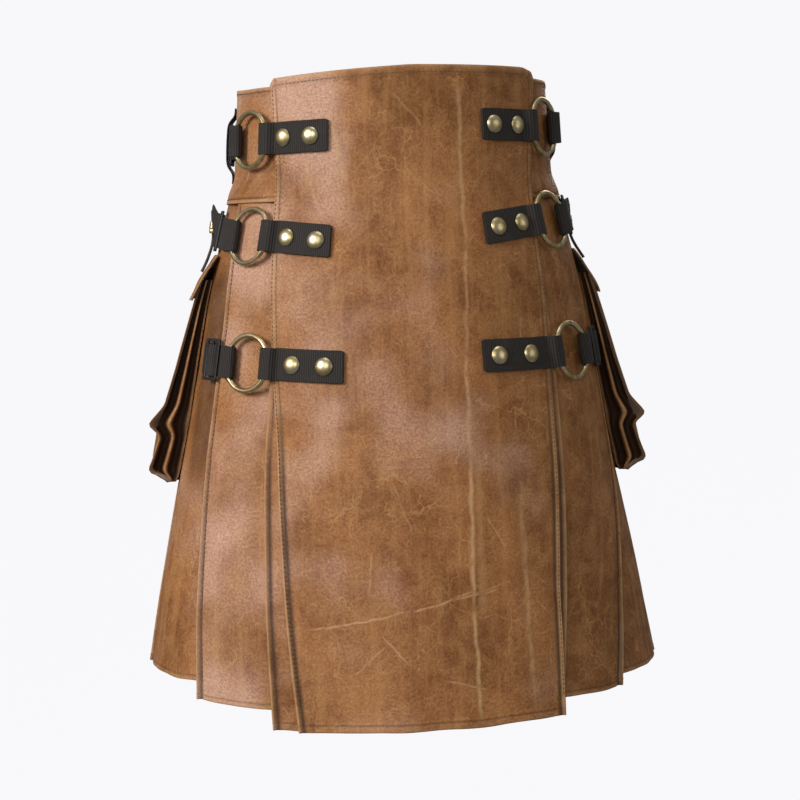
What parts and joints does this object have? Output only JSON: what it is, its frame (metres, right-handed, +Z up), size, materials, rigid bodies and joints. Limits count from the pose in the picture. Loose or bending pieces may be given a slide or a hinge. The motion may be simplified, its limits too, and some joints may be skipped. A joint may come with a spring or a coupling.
{
  "type": "leather kilt",
  "caption": "Wrap kilt in distressed brown leather: flat aprons over pleats, webbing straps with rings, snaps and sliders at the sides, and a cargo pocket on each hip.",
  "frame": {"origin": "middle of the waist opening, level with the top row of straps, where the wearer's waist holds the kilt", "axes": "+Z up towards the waistband, -Y out of the front apron, +X towards the right of the picture"},
  "size_m": [0.5164, 0.4505, 0.603],
  "materials": {
    "leather": "waxed, distressed pull-up leather, satin",
    "webbing": "ribbed black webbing, matt with a slight sheen",
    "brass": "antiqued brass, worn bright on its edges",
    "black_metal": "black enamel on metal, satin",
    "lace": "thin dark leather lace"
  },
  "bodies": {
    "root": {"apron_front": "leather", "apron_under": "leather", "yoke": "leather", "pleat_back": "leather", "pleat_left_1": "leather", "pleat_left_2": "leather", "pleat_left_3": "leather", "pleat_left_4": "leather", "pleat_left_5": "leather", "pleat_right_1": "leather", "pleat_right_2": "leather", "pleat_right_3": "leather", "pleat_right_4": "leather", "pleat_right_5": "leather", "pocket_left": "leather", "pocket_right": "leather", "pocket_flap_left": "leather", "pocket_flap_right": "leather", "strap_front_left_top": "webbing", "strap_back_left_top": "webbing", "ring_left_top": "brass", "slider_left_top": "black_metal", "snap_left_top_1": "brass", "snap_left_top_2": "brass", "strap_front_left_middle": "webbing", "strap_back_left_middle": "webbing", "ring_left_middle": "brass", "slider_left_middle": "black_metal", "snap_left_middle_1": "brass", "snap_left_middle_2": "brass", "strap_front_left_low": "webbing", "strap_back_left_low": "webbing", "ring_left_low": "brass", "slider_left_low": "black_metal", "snap_left_low_1": "brass", "snap_left_low_2": "brass", "strap_front_right_top": "webbing", "strap_back_right_top": "webbing", "ring_right_top": "brass", "slider_right_top": "black_metal", "snap_right_top_1": "brass", "snap_right_top_2": "brass", "strap_front_right_middle": "webbing", "strap_back_right_middle": "webbing", "ring_right_middle": "brass", "slider_right_middle": "black_metal", "snap_right_middle_1": "brass", "snap_right_middle_2": "brass", "strap_front_right_low": "webbing", "strap_back_right_low": "webbing", "ring_right_low": "brass", "slider_right_low": "black_metal", "snap_right_low_1": "brass", "snap_right_low_2": "brass", "belt_loop_left": "webbing", "lace_left": "lace", "bead_left": "brass", "belt_loop_right": "webbing", "lace_right": "lace", "bead_right": "brass"}
  },
  "joints": []
}
